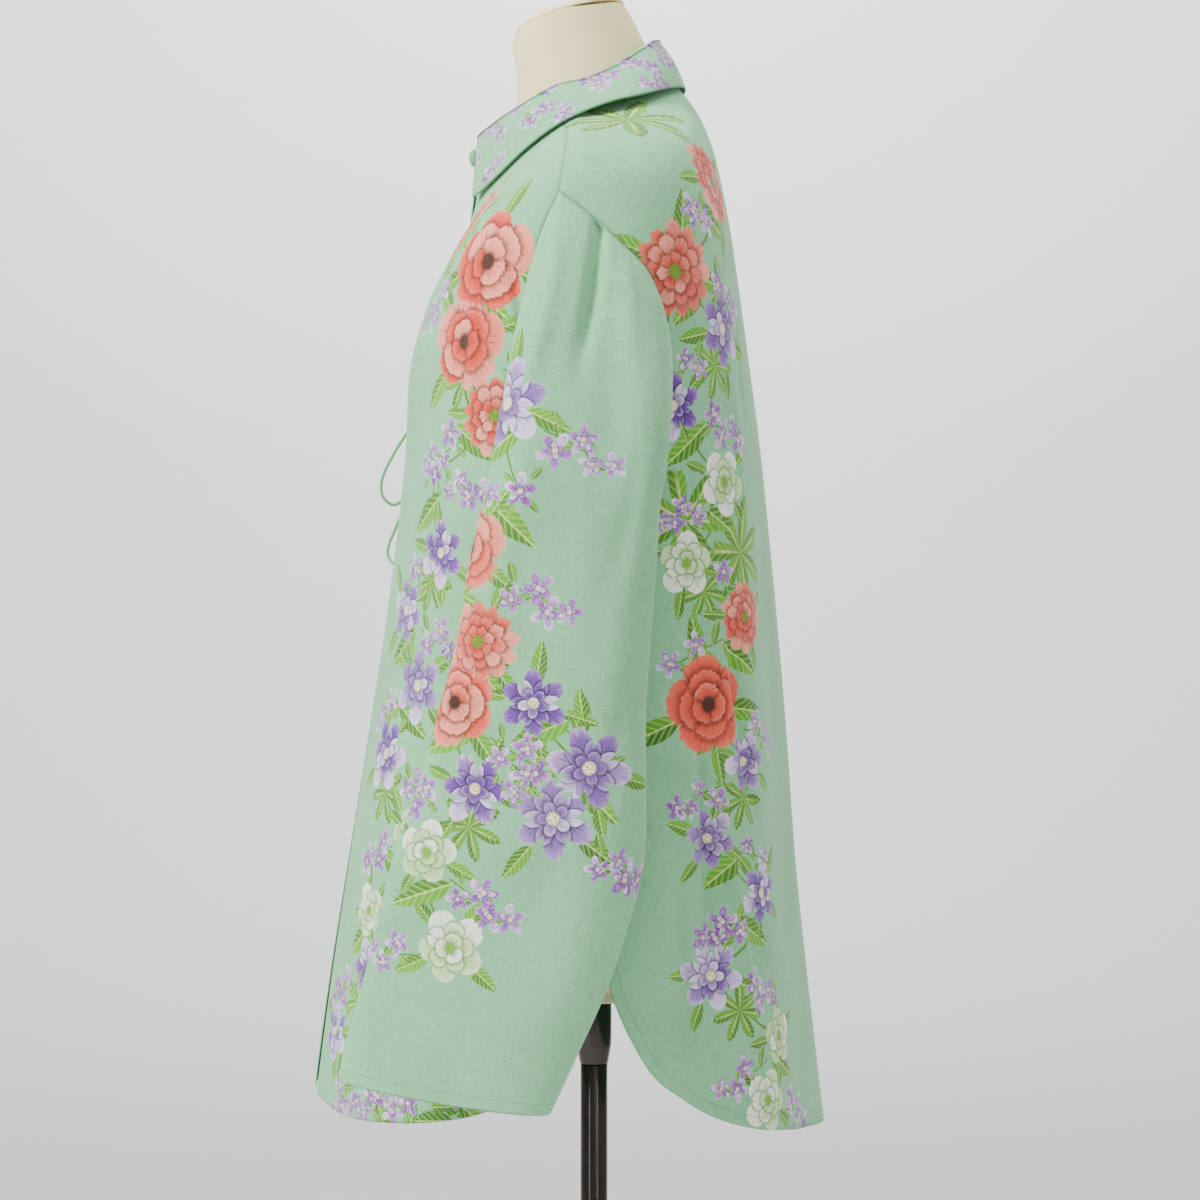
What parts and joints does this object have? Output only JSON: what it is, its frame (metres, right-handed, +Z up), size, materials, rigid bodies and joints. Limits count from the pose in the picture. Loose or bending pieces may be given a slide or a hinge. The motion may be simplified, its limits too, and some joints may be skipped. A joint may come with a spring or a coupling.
{
  "type": "tunic on a dress form",
  "caption": "Long shirt-shaped linen tunic with turned-down collar, wide sleeves and curved hem, on a limbless dress form and pole stand.",
  "frame": {"origin": "on the floor, under the axis of the stand's pole", "axes": "+X to the wearer's left, +Y to the back, +Z up"},
  "size_m": [0.5216, 0.405, 1.5418],
  "materials": {
    "linen": null,
    "covered_button": "matt linen over a domed button",
    "loop_cord": "matt sewn linen cord",
    "form_cotton": "matt cream cotton jersey stretched over a hard form",
    "form_board": "plain board closing the foot of the form",
    "dark_chrome": "polished dark chrome"
  },
  "bodies": {
    "root": {"front_left": "linen", "front_right": "linen", "back": "linen", "sleeve_left": "linen", "sleeve_right": "linen", "collar_stand": "linen", "collar_leaf": "linen", "neck_button": "covered_button", "loop_upper": "loop_cord", "loop_lower": "loop_cord", "form_torso": "form_cotton", "form_cap": "form_cotton", "form_board": "form_board", "stand_bracket": "dark_chrome", "stand_pole": "dark_chrome", "stand_socket": "dark_chrome", "stand_base": "dark_chrome"}
  },
  "joints": []
}
